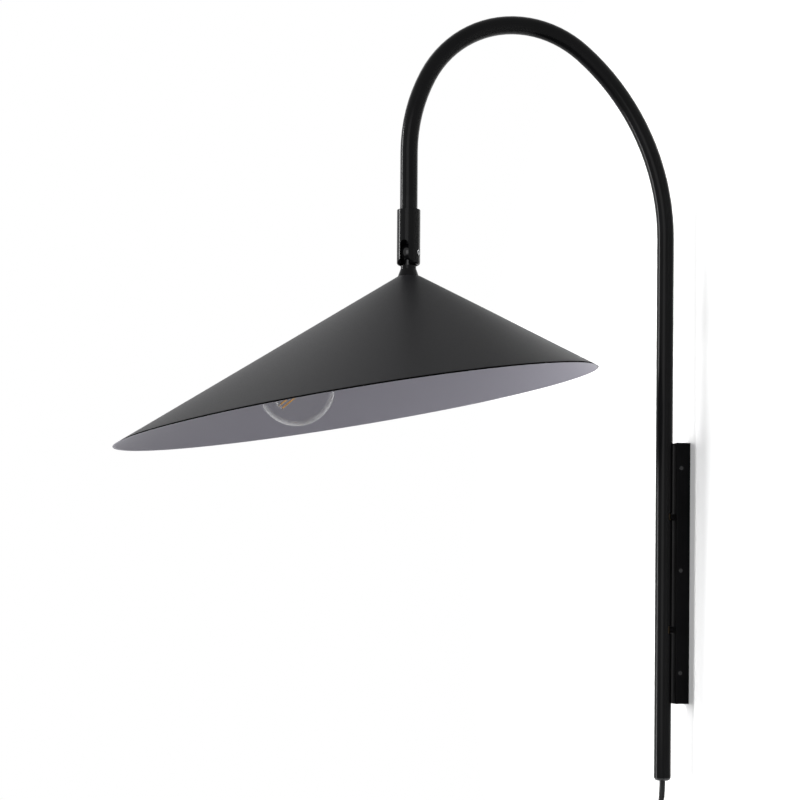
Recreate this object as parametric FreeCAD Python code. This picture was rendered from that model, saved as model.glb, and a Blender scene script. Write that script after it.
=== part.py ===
import FreeCAD, Part
import math
import os

# Hanging pendant wall lamp. X points into the wall, which is the plane X = 0, the room is at -X, Z is up.
# The origin is the middle of the rail's back. All sizes are millimetres and degrees.

# ---- wall rail ----
RAIL_LENGTH = 278.0
RAIL_WIDTH = 20.0
RAIL_DEPTH = 15.0
RAIL_WALL = 1.5
BRACKET_SIDE_GAP = 0.2
BRACKET_END_GAP = 2.5
BRACKET_BACK = 2.0
BRACKET_FLANGE = 1.6
BRACKET_FRONT_GAP = 0.7
WALL_HOLE_R = 2.3
WALL_HOLE_PITCH = 180.0
COVER_SCREW_R = 1.5
COVER_SCREW_HEAD_R = 2.2
COVER_SCREW_HEAD_H = 1.1
COVER_SCREW_PITCH = 109.0
COVER_SCREW_MID_Z = 3.0
COVER_SCREW_X = -10.5
COVER_SCREW_COUNT = 3

# ---- arm tube: a post, three arcs towards the room (share of the radius, turn), a short drop ----
TUBE_R = 9.0
TUBE_WALL = 1.5
TUBE_RAIL_GAP = 1.5
POST_BOTTOM = -218.0
POST_TOP = 356.0
ARM_REACH = 282.95
ARC_BENDS = ((2.39, 53.0), (1.13, 99.5), (1.73, 27.5))
DROP_RUN = 46.0
SWIVEL_HALF_RANGE = 50.0

# ---- arm bearings ----
BEARING_HALF_PITCH = 60.0
BLOCK_WIDTH = 12.4
BLOCK_DEPTH = 8.0
BLOCK_HEIGHT = 24.0
BOLT_R = 2.0
BOLT_HEAD_R = 3.6
BOLT_HEAD_H = 2.2
SPACER_R = 3.5
SPACER_SEAT = 0.4
BUSH_BORE_R = 3.75
BUSH_HEIGHT = 24.0

# ---- cord ----
CORD_R = 3.2
GROMMET_FLANGE_R = 8.7
GROMMET_FLANGE_H = 3.0
GROMMET_TIP_R = 4.6
GROMMET_SPIGOT = 8.0
GROMMET_DOME_OUT = 0.9
GROMMET_DOME_UP = 0.7

# ---- swivel under the tube's end ----
COLLAR_HEIGHT = 13.4
COLLAR_SPIGOT = 16.0
SPINDLE_R = 5.0
SPINDLE_WALL = 1.5
SPINDLE_BELOW_NUT = 3.0
WASHER_R = 8.6
WASHER_H = 1.0
NUT_FLATS = 14.0
NUT_HEIGHT = 4.0

# ---- knuckle ----
BARREL_R = 12.0
BARREL_TOP_WALL = 6.0
BARREL_HEIGHT = 56.2
BARREL_EDGE = 2.5
PIVOT_ABOVE_BOTTOM = 12.5
BALL_R = 8.9
SLOT_WIDTH = 9.6
SLOT_ABOVE_PIVOT = 11.5
SLOT_TURN = -128.0
PIVOT_SCREW_R = 3.0
PIVOT_DOG_R = 2.0
PIVOT_DOG_REACH = 3.6
SOCKET_FLATS = 3.0
SOCKET_DEPTH = 1.6
CORES_R = 2.3

# ---- shade and its collar ----
STEM_R = 4.5
THREAD_R = 4.0
STEM_BORE_R = 2.5
THREAD_BELOW_NUT = 3.5
SHOULDER_BELOW_TOP = 2.0
NECK_R = 8.0
NECK_HEIGHT = 3.6
NECK_BELOW_PIVOT = 13.5
CONE_TOP_R = 8.35
CONE_BASE_R = 11.0
CONE_HEIGHT = 7.4
SHADE_APEX_ABOVE_TOP = 7.0
SHADE_HALF_ANGLE = 60.0
SHADE_LEAN_ANGLE = 2.3
SHADE_WIDTH = 478.0
RIM_ANGLE = 7.857
CONE_SPARE = 1.6
SHADE_WALL = 1.0
SHADE_WASHER_R = 10.5
SHADE_WASHER_H = 1.5
LOCK_NUT_HEIGHT = 5.0

# ---- lamp holder and bulb, along an axis that points out and down ----
BULB_ANGLE = 49.0
BULB_AXIS_BELOW_PIVOT = 40.0
BRACKET_STRAP = 2.0
BRACKET_STRAP_WIDTH = 16.0
STRAP_REACH_IN = 9.0
STRAP_REACH_OUT = 10.0
STRAP_DROP = 27.5
HOLDER_START = 60.0
HOLDER_TAB_HALF = 14.0
HOLDER_LENGTH = 47.0
HOLDER_BASE = 12.0
HOLDER_R = 19.5
HOLDER_BORE_R = 14.4
HOLDER_LIP = 8.0
HOLDER_LIP_STEP = 1.0
NIPPLE_R = 5.0
NIPPLE_BORE_R = 3.5
HOLDER_NUT_H = 3.5
CAP_R = 13.25
CAP_LENGTH = 27.0
CAP_NOSE = 3.0
CAP_HOLE_SHARE = 0.45
CAP_TIP_R = 4.0
CAP_WALL = 0.5
CAP_END_GAP = 1.8
CONTACT_H = 1.6
THREAD_SHELL_WALL = 0.6
THREAD_SHELL_LENGTH = 24.0
GLOBE_R = 40.0
GLOBE_WALL = 1.0
GLOBE_AXIAL = 153.6
NECK_GLASS_R = 12.4
NECK_GLASS_START = 5.0
NECK_GLASS_BEND_R = 16.0
FILAMENT_RING_R = 8.0
FILAMENT_R = 0.8
FILAMENT_LENGTH = 38.0
FILAMENT_COUNT = 6
FILAMENT_START = 141.0
HUB_H = 1.0
STEM_GLASS_R = 5.0
STEM_ROD_R = 1.2
STEM_GLASS_START = 8.0
STEM_FOOT_HEIGHT = 14.0
HEAD_LEAD_R = 2.3
HEAD_LEAD_KNEE = 14.0
HEAD_LEAD_SWING = 24.0
HEAD_LEAD_END_GAP = 1.0

# ---- in-line switch ----
SWITCH_TOP = -262.0
SWITCH_X = -27.5
SWITCH_LENGTH = 58.0
SWITCH_WIDTH = 26.0
SWITCH_DEPTH = 18.0
SWITCH_END = 11.0
SWITCH_TAPER = 18.0
CAVITY_WIDTH = 14.0
CAVITY_WALL = 2.0
SWITCH_SCREW_R = 1.25
SWITCH_SCREW_HEAD_R = 2.4
SWITCH_SCREW_HEAD_H = 1.5
SWITCH_SCREW_Y = 9.6
SWITCH_SCREW_Z = 8.0
SWITCH_FRONT_SKIN = 4.0
SWITCH_EDGE_R = 1.5
ROCKER_LENGTH = 18.0
ROCKER_WIDTH = 9.6
ROCKER_HEIGHT = 5.0
ROCKER_PROUD = 1.6
ROCKER_TILT = 7.0
ROCKER_PIN_R = 1.0
ROCKER_PIN_SEAT = 2.5
ROCKER_END_GAP = 1.2
ROCKER_INSIDE = 2.2
ROCKER_END_DIP = 0.4
ROCKER_VALLEY = 1.2
CONTACT_STRIP = 0.8
CONTACT_STRIP_WIDTH = 4.0
CONTACT_STRIP_LENGTH = 22.0

# ---- cord routes, hand laid, and the coil of the length that is put away ----
SUPPLY_ROUTE = ((-25.5, 0, -221), (-25.5, 0, -234), (-27.5, 0, -248), (-27.5, 0, -262))
SWITCH_ROUTE = ((-27.5, 0, -320), (-27.5, 0, -332), (-27.6, 4.3, -344), (-27.9, 12.3, -353.6),
                (-28.5, 28, -362.7), (-28.9, 36, -372.3), (-29, 40.2, -384), (-29, 40.2, -402))
COIL_R = 40.2
COIL_CENTRE = (-29, 0, -402)
COIL_PITCH = 7.0
COIL_HALVES = (-1, -1, -1, 0, 1, 1, 1, 0, -1, -1, -1, 0, 1, 1, 1, 1)
COIL_TURN_OVER = 1.4
PLUG_ROUTE = ((-8, 43.7, -402), (-8, 43.7, -418), (-10.5, 42.7, -429), (-10.5, 42.7, -439))
TIE_WIDTH = 10.0
TIE_WALL = 1.2
TIE_GAP = 0.5
TIE_CORNER_R = 4.0
TIE_ROOM_OUT = 0.4

# ---- plug ----
RELIEF_LENGTH = 25.0
RELIEF_TOP_R = 4.2
RELIEF_BASE_R = 6.0
RELIEF_SLITS = 4
RELIEF_SLIT = 1.2
RELIEF_SPINE = 3.0
RELIEF_CORE_WALL = 0.4
PLUG_LENGTH = 36.0
PLUG_WIDTH = 34.0
PLUG_NECK_WIDTH = 16.0
PLUG_THICK = 13.0
PLUG_WAIST_SHARE = 0.35
PLUG_SHOULDER_SHARE = 0.65
PLUG_EDGE_R = 2.0
PIN_R = 2.0
PIN_LENGTH = 19.0
PIN_SPACING = 18.6
PIN_ROOT = 8.0

# ---- clearances ----
PART_GAP = 0.3
BOLT_GAP = 0.05
RUN_GAP = 0.08
FIT_GAP = 0.1

# ---- places worked out from the sizes above ----
POST_X = -RAIL_DEPTH - TUBE_RAIL_GAP - TUBE_R
RIM_SLOPE = math.tan(math.radians(RIM_ANGLE))
CONE_SLOPE = math.tan(math.radians(SHADE_HALF_ANGLE))
SHADE_AXIAL = SHADE_WIDTH / 2 / CONE_SLOPE * math.sqrt(1 - (RIM_SLOPE * CONE_SLOPE) ** 2)
TUBE_BORE_R = TUBE_R - TUBE_WALL
V = FreeCAD.Vector


def cylinder(r, length, base=(0, 0, 0), axis=(0, 0, 1)):
    return Part.makeCylinder(r, length, V(*base), V(*axis))


def block(x0, x1, y0, y1, z0, z1):
    return Part.makeBox(x1 - x0, y1 - y0, z1 - z0, V(x0, y0, z0))


def turned(points):
    """Solid of revolution about Z from (radius, height) points."""
    outline = Part.makePolygon([V(r, 0, z) for r, z in points] + [V(points[0][0], 0, points[0][1])])
    return Part.Face(outline).revolve(V(0, 0, 0), V(0, 0, 1), 360)


def hex_nut(flats, height, bore_r):
    corner = flats / math.sqrt(3)
    ring = [V(corner * math.cos(math.pi / 3 * i), corner * math.sin(math.pi / 3 * i), 0) for i in range(7)]
    body = Part.Face(Part.makePolygon(ring)).extrude(V(0, 0, height))
    return body.cut(cylinder(bore_r, height))


def moved(shape, x, y, z):
    copy = shape.copy()
    copy.translate(V(x, y, z))
    return copy


def fused(shapes):
    whole = shapes[0].multiFuse(shapes[1:])
    return whole.removeSplitter()


def group(shapes):
    return Part.makeCompound(shapes)


def sweep(wire, r, start, direction):
    """Round bar of radius r along a wire that starts at start in the given direction."""
    ring = Part.Wire(Part.Circle(start, direction, r).toShape())
    return wire.makePipeShell([ring], True, False)


# ---- arm path ----
def arc_run():
    """Level run of the three arcs for radii equal to their shares."""
    run = 0.0
    heading = 90.0
    for share, turn in ARC_BENDS:
        run += share * (math.sin(math.radians(heading)) - math.sin(math.radians(heading + turn)))
        heading += turn
    return run


def arm_path():
    """Centreline pieces of the bent tube from the post's foot to the end of the drop, in the plane Y = 0."""
    here = V(POST_X, 0, POST_BOTTOM)
    top = V(POST_X, 0, POST_TOP)
    edges = [Part.LineSegment(here, top).toShape()]
    here = top
    heading = 90.0
    for share, turn in ARC_BENDS:
        radius = share * ARM_REACH / arc_run()
        inward = math.radians(heading + 90)
        centre = here + V(math.cos(inward), 0, math.sin(inward)) * radius
        stops = []
        for part in (0.5, 1.0):
            a = math.radians(heading - 90 + turn * part)
            stops.append(centre + V(math.cos(a), 0, math.sin(a)) * radius)
        edges.append(Part.Arc(here, stops[0], stops[1]).toShape())
        here = stops[1]
        heading += turn
    foot = here + V(math.cos(math.radians(heading)), 0, math.sin(math.radians(heading))) * DROP_RUN
    edges.append(Part.LineSegment(here, foot).toShape())
    return edges, foot


ARM_EDGES, DROP_END = arm_path()
DROP_X = DROP_END.x
TUBE_END = DROP_END.z
BARREL_TOP = TUBE_END - COLLAR_HEIGHT - PART_GAP
BARREL_BOTTOM = BARREL_TOP - BARREL_HEIGHT
PIVOT_Z = BARREL_BOTTOM + PIVOT_ABOVE_BOTTOM
BORE_TOP = BARREL_TOP - BARREL_TOP_WALL
NUT_TOP = BORE_TOP - RUN_GAP * 2 - WASHER_H
SPINDLE_END = NUT_TOP - NUT_HEIGHT - SPINDLE_BELOW_NUT
NECK_TOP = PIVOT_Z - NECK_BELOW_PIVOT
SHADE_TOP = NECK_TOP - NECK_HEIGHT - CONE_HEIGHT
SHADE_APEX = SHADE_TOP + SHADE_APEX_ABOVE_TOP
WASHER_BOTTOM = SHADE_TOP - SHADE_WALL - SHADE_WASHER_H
STRAP_BOTTOM = WASHER_BOTTOM - BRACKET_STRAP
LOCK_NUT_BOTTOM = STRAP_BOTTOM - LOCK_NUT_HEIGHT
STEM_END = LOCK_NUT_BOTTOM - THREAD_BELOW_NUT


# ---- rail ----
def rail_cover():
    half = RAIL_LENGTH / 2
    side = RAIL_WIDTH / 2
    body = block(-RAIL_DEPTH, 0, -side, side, -half, half)
    corners = [e for e in body.Edges
               if abs(e.CenterOfMass.x + RAIL_DEPTH) < 1e-6 and e.Length > RAIL_WIDTH * 2]
    body = body.makeFillet(RAIL_WALL * 0.5, corners)
    inside = side - RAIL_WALL
    long_inside = half - RAIL_WALL
    body = body.cut(block(-RAIL_DEPTH + RAIL_WALL, 1, -inside, inside, -long_inside, long_inside))
    for z in cover_screw_heights():
        start = (COVER_SCREW_X, -side - 1, z)
        body = body.cut(cylinder(COVER_SCREW_R + BOLT_GAP, RAIL_WIDTH + 2, start, (0, 1, 0)))
    for z in bearing_heights():
        body = body.cut(cylinder(BOLT_R + BOLT_GAP, RAIL_DEPTH, (-RAIL_DEPTH - 1, 0, z), (1, 0, 0)))
    return body


def wall_bracket():
    half = RAIL_LENGTH / 2 - RAIL_WALL - BRACKET_END_GAP
    side = RAIL_WIDTH / 2 - RAIL_WALL - BRACKET_SIDE_GAP
    front = -RAIL_DEPTH + RAIL_WALL + BRACKET_FRONT_GAP
    body = block(front, 0, -side, side, -half, half)
    inside = side - BRACKET_FLANGE
    body = body.cut(block(front - 1, -BRACKET_BACK, -inside, inside, -half - 1, half + 1))
    for z in cover_screw_heights():
        start = (COVER_SCREW_X, -side - 1, z)
        body = body.cut(cylinder(COVER_SCREW_R + BOLT_GAP, RAIL_WIDTH, start, (0, 1, 0)))
    for z in (-WALL_HOLE_PITCH / 2, WALL_HOLE_PITCH / 2):
        body = body.cut(cylinder(WALL_HOLE_R, BRACKET_BACK + 2, (-BRACKET_BACK - 1, 0, z), (1, 0, 0)))
    return body


def cover_screw_heights():
    first = COVER_SCREW_MID_Z - COVER_SCREW_PITCH * (COVER_SCREW_COUNT - 1) / 2
    return [first + COVER_SCREW_PITCH * i for i in range(COVER_SCREW_COUNT)]


def bearing_heights():
    return (-BEARING_HALF_PITCH, BEARING_HALF_PITCH)


def cover_screws():
    screws = []
    face = RAIL_WIDTH / 2
    tip = RAIL_WALL + BRACKET_SIDE_GAP + BRACKET_FLANGE
    for z in cover_screw_heights():
        for side in (-1, 1):
            seat = (COVER_SCREW_X, side * face, z)
            head = cylinder(COVER_SCREW_HEAD_R, COVER_SCREW_HEAD_H, seat, (0, side, 0))
            shank = cylinder(COVER_SCREW_R, tip, seat, (0, -side, 0))
            screws.append(fused([head, shank]))
    return group(screws)


# ---- bearings of the arm ----
def bearing_blocks():
    front = -RAIL_DEPTH + RAIL_WALL
    blocks = []
    for z in bearing_heights():
        body = block(front, front + BLOCK_DEPTH, -BLOCK_WIDTH / 2, BLOCK_WIDTH / 2,
                     z - BLOCK_HEIGHT / 2, z + BLOCK_HEIGHT / 2)
        blocks.append(body.cut(cylinder(BOLT_R + BOLT_GAP, BLOCK_DEPTH + 2, (front - 1, 0, z), (1, 0, 0))))
    return group(blocks)


def bush_flat_x():
    return POST_X + TUBE_BORE_R - RUN_GAP - SPACER_SEAT


def bearing_bolts():
    head_x = -RAIL_DEPTH + RAIL_WALL + BLOCK_DEPTH
    tip_x = POST_X + BUSH_BORE_R + SPACER_SEAT
    bolts = []
    for z in bearing_heights():
        shank = cylinder(BOLT_R, head_x - tip_x, (tip_x, 0, z), (1, 0, 0))
        head = cylinder(BOLT_HEAD_R, BOLT_HEAD_H, (head_x, 0, z), (1, 0, 0))
        bolts.append(fused([shank, head]))
    return group(bolts)


def bearing_spacers():
    start = bush_flat_x()
    length = -RAIL_DEPTH - start
    rings = []
    for z in bearing_heights():
        ring = cylinder(SPACER_R, length, (start, 0, z), (1, 0, 0))
        rings.append(ring.cut(cylinder(BOLT_R + BOLT_GAP, length, (start, 0, z), (1, 0, 0))))
    return group(rings)


def bearing_bushes():
    flat = bush_flat_x()
    bushes = []
    for z in bearing_heights():
        base = z - BUSH_HEIGHT / 2
        bush = cylinder(TUBE_BORE_R - RUN_GAP, BUSH_HEIGHT, (POST_X, 0, base))
        bush = bush.cut(cylinder(BUSH_BORE_R, BUSH_HEIGHT, (POST_X, 0, base)))
        seat = SPACER_R + PART_GAP
        bush = bush.cut(block(flat, POST_X + TUBE_R, -TUBE_R, TUBE_R, z - seat, z + seat))
        bushes.append(bush.cut(cylinder(BOLT_R + BOLT_GAP, TUBE_R, (POST_X, 0, z), (1, 0, 0))))
    return group(bushes)


# ---- arm ----
def arm_tube():
    wire = Part.Wire(ARM_EDGES)
    start = V(POST_X, 0, POST_BOTTOM)
    tube = sweep(wire, TUBE_R, start, V(0, 0, 1)).cut(sweep(wire, TUBE_BORE_R, start, V(0, 0, 1)))
    height = 2 * (SPACER_R + PART_GAP)
    half_turn = SWIVEL_HALF_RANGE + math.degrees(math.asin(SPACER_R / (TUBE_R - TUBE_WALL / 2))) + 2
    near = TUBE_BORE_R - TUBE_WALL
    far = TUBE_R + TUBE_WALL
    ring = ((near, 0), (far, 0), (far, height), (near, height), (near, 0))
    for z in bearing_heights():
        outline = Part.makePolygon([V(r, 0, h) for r, h in ring])
        slot = Part.Face(outline).revolve(V(0, 0, 0), V(0, 0, 1), 2 * half_turn)
        slot.rotate(V(0, 0, 0), V(0, 0, 1), -half_turn)
        tube = tube.cut(moved(slot, POST_X, 0, z - height / 2))
    return tube


def cord_grommet():
    bottom = POST_BOTTOM - GROMMET_FLANGE_H
    spigot = TUBE_BORE_R - FIT_GAP
    foot = V(0, 0, bottom)
    tip = V(GROMMET_TIP_R, 0, bottom)
    shoulder = V((GROMMET_FLANGE_R + GROMMET_TIP_R) / 2 + GROMMET_DOME_OUT, 0, bottom + GROMMET_DOME_UP)
    edge = V(GROMMET_FLANGE_R, 0, POST_BOTTOM)
    root = V(spigot, 0, POST_BOTTOM)
    top_edge = V(spigot, 0, POST_BOTTOM + GROMMET_SPIGOT)
    top = V(0, 0, POST_BOTTOM + GROMMET_SPIGOT)
    dome = [Part.LineSegment(foot, tip).toShape(), Part.Arc(tip, shoulder, edge).toShape()]
    for a, b in ((edge, root), (root, top_edge), (top_edge, top), (top, foot)):
        dome.append(Part.LineSegment(a, b).toShape())
    body = Part.Face(Part.Wire(dome)).revolve(V(0, 0, 0), V(0, 0, 1), 360)
    body = body.cut(cylinder(CORD_R + FIT_GAP, GROMMET_FLANGE_H + GROMMET_SPIGOT + 2, (0, 0, bottom - 1)))
    return moved(body, POST_X, 0, 0)


def arm_lead():
    foot = V(POST_X, 0, POST_BOTTOM - GROMMET_FLANGE_H)
    below = Part.LineSegment(foot, V(POST_X, 0, POST_TOP)).toShape()
    last = ARM_EDGES[-1].Vertexes[0].Point
    end = V(DROP_X, 0, SPINDLE_END)
    wire = Part.Wire([below] + ARM_EDGES[1:-1] + [Part.LineSegment(last, end).toShape()])
    return sweep(wire, CORD_R, foot, V(0, 0, 1))


def swivel_collar():
    bore = SPINDLE_R - SPINDLE_WALL
    body = fused([cylinder(TUBE_R, COLLAR_HEIGHT, (0, 0, TUBE_END - COLLAR_HEIGHT)),
                  cylinder(TUBE_BORE_R - FIT_GAP, COLLAR_SPIGOT, (0, 0, TUBE_END)),
                  cylinder(SPINDLE_R, TUBE_END - SPINDLE_END, (0, 0, SPINDLE_END))])
    body = body.cut(cylinder(bore, TUBE_END + COLLAR_SPIGOT - SPINDLE_END, (0, 0, SPINDLE_END)))
    return moved(body, DROP_X, 0, 0)


def friction_washer():
    ring = cylinder(WASHER_R, WASHER_H, (0, 0, NUT_TOP))
    return moved(ring.cut(cylinder(SPINDLE_R + BOLT_GAP, WASHER_H, (0, 0, NUT_TOP))), DROP_X, 0, 0)


def spindle_nut():
    return moved(hex_nut(NUT_FLATS, NUT_HEIGHT, SPINDLE_R + BOLT_GAP), DROP_X, 0, NUT_TOP - NUT_HEIGHT)


# ---- knuckle, drawn with the slot towards +X and then turned ----
def knuckle_barrel():
    bore_r = BALL_R + PART_GAP
    body = cylinder(BARREL_R, BARREL_HEIGHT, (0, 0, BARREL_BOTTOM))
    rims = [e for e in body.Edges
            if e.Length > BARREL_R * 4 and abs(e.CenterOfMass.z - BARREL_BOTTOM) < 1e-6]
    body = body.makeFillet(BARREL_EDGE, rims)
    body = body.cut(cylinder(bore_r, BORE_TOP - BARREL_BOTTOM, (0, 0, BARREL_BOTTOM)))
    body = body.cut(cylinder(SPINDLE_R + RUN_GAP, BARREL_TOP_WALL + 2, (0, 0, BORE_TOP - 1)))
    half = SLOT_WIDTH / 2
    round_z = PIVOT_Z + SLOT_ABOVE_PIVOT - half
    body = body.cut(block(0, BARREL_R + 1, -half, half, BARREL_BOTTOM - 1, round_z))
    body = body.cut(cylinder(half, BARREL_R + 1, (0, 0, round_z), (1, 0, 0)))
    relief = NECK_R + PART_GAP * 2
    swept = block(0, BARREL_R + 1, -relief, relief, BARREL_BOTTOM - 1, PIVOT_Z)
    kept_r = NECK_BELOW_PIVOT - PART_GAP
    swept = swept.cut(cylinder(kept_r, 2 * relief + 2, (0, -relief - 1, PIVOT_Z), (0, 1, 0)))
    body = body.cut(swept)
    start = (0, -BARREL_R - 1, PIVOT_Z)
    body = body.cut(cylinder(PIVOT_SCREW_R + BOLT_GAP, 2 * BARREL_R + 2, start, (0, 1, 0)))
    return at_knuckle(body)


def at_knuckle(shape):
    shape = shape.copy()
    shape.rotate(V(0, 0, 0), V(0, 0, 1), SLOT_TURN)
    return moved(shape, DROP_X, 0, 0)


def pivot_screws():
    screws = []
    for side in (-1, 1):
        start = side * (BALL_R + PART_GAP * 1.5)
        length = BARREL_R - PART_GAP * 2 - abs(start)
        body = cylinder(PIVOT_SCREW_R, length, (0, start, PIVOT_Z), (0, side, 0))
        dog = cylinder(PIVOT_DOG_R, PIVOT_DOG_REACH, (0, start, PIVOT_Z), (0, -side, 0))
        screw = fused([body, dog])
        socket = hex_nut(SOCKET_FLATS, SOCKET_DEPTH, SOCKET_FLATS / 300).Solids[0]
        socket.rotate(V(0, 0, 0), V(1, 0, 0), 90 * side)
        screws.append(screw.cut(moved(socket, 0, side * (BARREL_R - PART_GAP * 2), PIVOT_Z)))
    return at_knuckle(group(screws))


def knuckle_cores():
    foot = PIVOT_Z + BALL_R + PART_GAP
    return cylinder(CORES_R, SPINDLE_END - PART_GAP - foot, (DROP_X, 0, foot))


# ---- head: ball with its stem, collar and shade ----
def pivot_ball():
    ball = Part.makeSphere(BALL_R, V(0, 0, PIVOT_Z))
    shoulder = NECK_TOP - SHOULDER_BELOW_TOP
    body = fused([ball, cylinder(STEM_R, PIVOT_Z - shoulder, (0, 0, shoulder)),
                  cylinder(THREAD_R, PIVOT_Z - STEM_END, (0, 0, STEM_END))])
    body = body.cut(cylinder(STEM_BORE_R, PIVOT_Z + BALL_R - STEM_END, (0, 0, STEM_END)))
    for side in (-1, 1):
        reach = PIVOT_DOG_REACH + PART_GAP
        start = BALL_R + PART_GAP * 1.5 - reach
        body = body.cut(cylinder(PIVOT_DOG_R + RUN_GAP, reach, (0, side * start, PIVOT_Z), (0, side, 0)))
    return at_knuckle(body)


def shade_collar():
    shoulder = NECK_TOP - SHOULDER_BELOW_TOP
    cone_top = NECK_TOP - NECK_HEIGHT
    body = turned([(THREAD_R + BOLT_GAP, SHADE_TOP), (CONE_BASE_R, SHADE_TOP), (CONE_TOP_R, cone_top),
                   (NECK_R, cone_top), (NECK_R, NECK_TOP), (STEM_R + BOLT_GAP, NECK_TOP),
                   (STEM_R + BOLT_GAP, shoulder), (THREAD_R + BOLT_GAP, shoulder)])
    return moved(body, DROP_X, 0, 0)


def shade_frame():
    """Unit vectors of the shade: its axis, the square direction towards the wall, and the rim's normal."""
    lean = math.radians(SHADE_LEAN_ANGLE)
    axis = V(math.sin(lean), 0, -math.cos(lean))
    across = V(math.cos(lean), 0, math.sin(lean))
    normal = axis + across * RIM_SLOPE
    return axis, across, normal.normalize()


def shade():
    axis, across, normal = shade_frame()
    apex = V(DROP_X, 0, SHADE_APEX)
    half = math.radians(SHADE_HALF_ANGLE)
    reach = SHADE_AXIAL * CONE_SPARE
    inner_apex = apex + axis * (SHADE_WALL / math.sin(half))
    outer = Part.makeCone(0, reach * math.tan(half), reach, apex, axis)
    inner = Part.makeCone(0, reach * math.tan(half), reach, inner_apex, axis)
    size = reach * 4
    top_cut = block(DROP_X - size, DROP_X + size, -size, size, SHADE_TOP, SHADE_TOP + size)
    under_cut = moved(top_cut, 0, 0, -SHADE_WALL)
    body = outer.cut(top_cut).cut(inner.cut(under_cut))
    below = Part.makeBox(size, size, size, V(-size / 2, -size / 2, 0))
    rim_plane = FreeCAD.Placement(apex + axis * SHADE_AXIAL, FreeCAD.Rotation(V(0, 0, 1), normal))
    below.Placement = rim_plane.multiply(below.Placement)
    body = body.cut(below)
    return body.cut(cylinder(THREAD_R + BOLT_GAP, 4 * SHADE_WALL, (DROP_X, 0, SHADE_TOP - 2 * SHADE_WALL)))


def shade_washer():
    ring = cylinder(SHADE_WASHER_R, SHADE_WASHER_H, (DROP_X, 0, WASHER_BOTTOM))
    return ring.cut(cylinder(THREAD_R + BOLT_GAP, SHADE_WASHER_H, (DROP_X, 0, WASHER_BOTTOM)))


def lock_nut():
    return moved(hex_nut(NUT_FLATS, LOCK_NUT_HEIGHT, THREAD_R + BOLT_GAP), DROP_X, 0, LOCK_NUT_BOTTOM)


# ---- bulb side, drawn along +Z from the crossing with the drop axis ----
def aim_point(along, across=0.0):
    """World point of a place on the bulb's axis, across is towards the wall and down."""
    angle = math.radians(BULB_ANGLE)
    centre = V(DROP_X, 0, PIVOT_Z - BULB_AXIS_BELOW_PIVOT)
    forward = V(-math.sin(angle), 0, -math.cos(angle))
    side = V(math.cos(angle), 0, -math.sin(angle))
    return centre + forward * along + side * across


def aimed(shape):
    shape = shape.copy()
    turn = FreeCAD.Rotation(V(0, 1, 0), BULB_ANGLE + 180)
    shape.Placement = FreeCAD.Placement(aim_point(0), turn).multiply(shape.Placement)
    return shape


def holder_bracket():
    level = WASHER_BOTTOM - BRACKET_STRAP / 2
    tab = HOLDER_START - BRACKET_STRAP / 2
    stops = [V(DROP_X - STRAP_REACH_IN, 0, level), V(DROP_X + STRAP_REACH_OUT, 0, level),
             V(DROP_X + STRAP_REACH_OUT, 0, level - STRAP_DROP),
             aim_point(tab, HOLDER_TAB_HALF), aim_point(tab, -HOLDER_TAB_HALF)]
    slabs = []
    half = BRACKET_STRAP / 2
    y0 = -BRACKET_STRAP_WIDTH / 2
    for a, b in zip(stops, stops[1:]):
        along = (b - a).normalize()
        square = V(along.z, 0, -along.x) * half
        ends = [a - square, b - square, b + square, a + square, a - square]
        face = Part.Face(Part.makePolygon([V(p.x, y0, p.z) for p in ends]))
        slabs.append(face.extrude(V(0, BRACKET_STRAP_WIDTH, 0)))
    for p in stops[1:-1]:
        slabs.append(cylinder(half, BRACKET_STRAP_WIDTH, (p.x, y0, p.z), (0, 1, 0)))
    body = fused(slabs)
    body = body.cut(cylinder(THREAD_R + BOLT_GAP, BRACKET_STRAP * 2, (DROP_X, 0, STRAP_BOTTOM - half)))
    start = (0, 0, HOLDER_START - BRACKET_STRAP * 1.5)
    return body.cut(aimed(cylinder(NIPPLE_R + BOLT_GAP, BRACKET_STRAP * 2, start)))


def holder_nipple():
    start = HOLDER_START - BRACKET_STRAP - HOLDER_NUT_H - 1
    length = HOLDER_START + HOLDER_BASE - 2 - start
    tube = cylinder(NIPPLE_R, length, (0, 0, start))
    return aimed(tube.cut(cylinder(NIPPLE_BORE_R, length, (0, 0, start))))


def holder_nut():
    return aimed(moved(hex_nut(NUT_FLATS, HOLDER_NUT_H, NIPPLE_R + BOLT_GAP), 0, 0,
                       HOLDER_START - BRACKET_STRAP - HOLDER_NUT_H))


def lamp_holder_body():
    start = HOLDER_START
    floor = start + HOLDER_BASE
    end = start + HOLDER_LENGTH
    step = HOLDER_R * 0.85
    body = turned([(NIPPLE_R + BOLT_GAP, start), (step * 0.75, start), (step, start + HOLDER_BASE * 0.6),
                   (HOLDER_R, floor + HOLDER_LIP_STEP), (HOLDER_R, end - HOLDER_LIP),
                   (HOLDER_R - HOLDER_LIP_STEP, end - HOLDER_LIP + HOLDER_LIP_STEP),
                   (HOLDER_R - HOLDER_LIP_STEP, end),
                   (HOLDER_BORE_R, end), (HOLDER_BORE_R, floor), (NIPPLE_R + BOLT_GAP, floor)])
    return aimed(body)


def cap_end():
    return HOLDER_START + HOLDER_BASE + CONTACT_H + CAP_END_GAP


def holder_contact():
    floor = HOLDER_START + HOLDER_BASE
    ring = cylinder(HOLDER_BORE_R - 2, CONTACT_H, (0, 0, floor))
    return aimed(ring.cut(cylinder(NIPPLE_R + 1, CONTACT_H, (0, 0, floor))))


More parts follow.
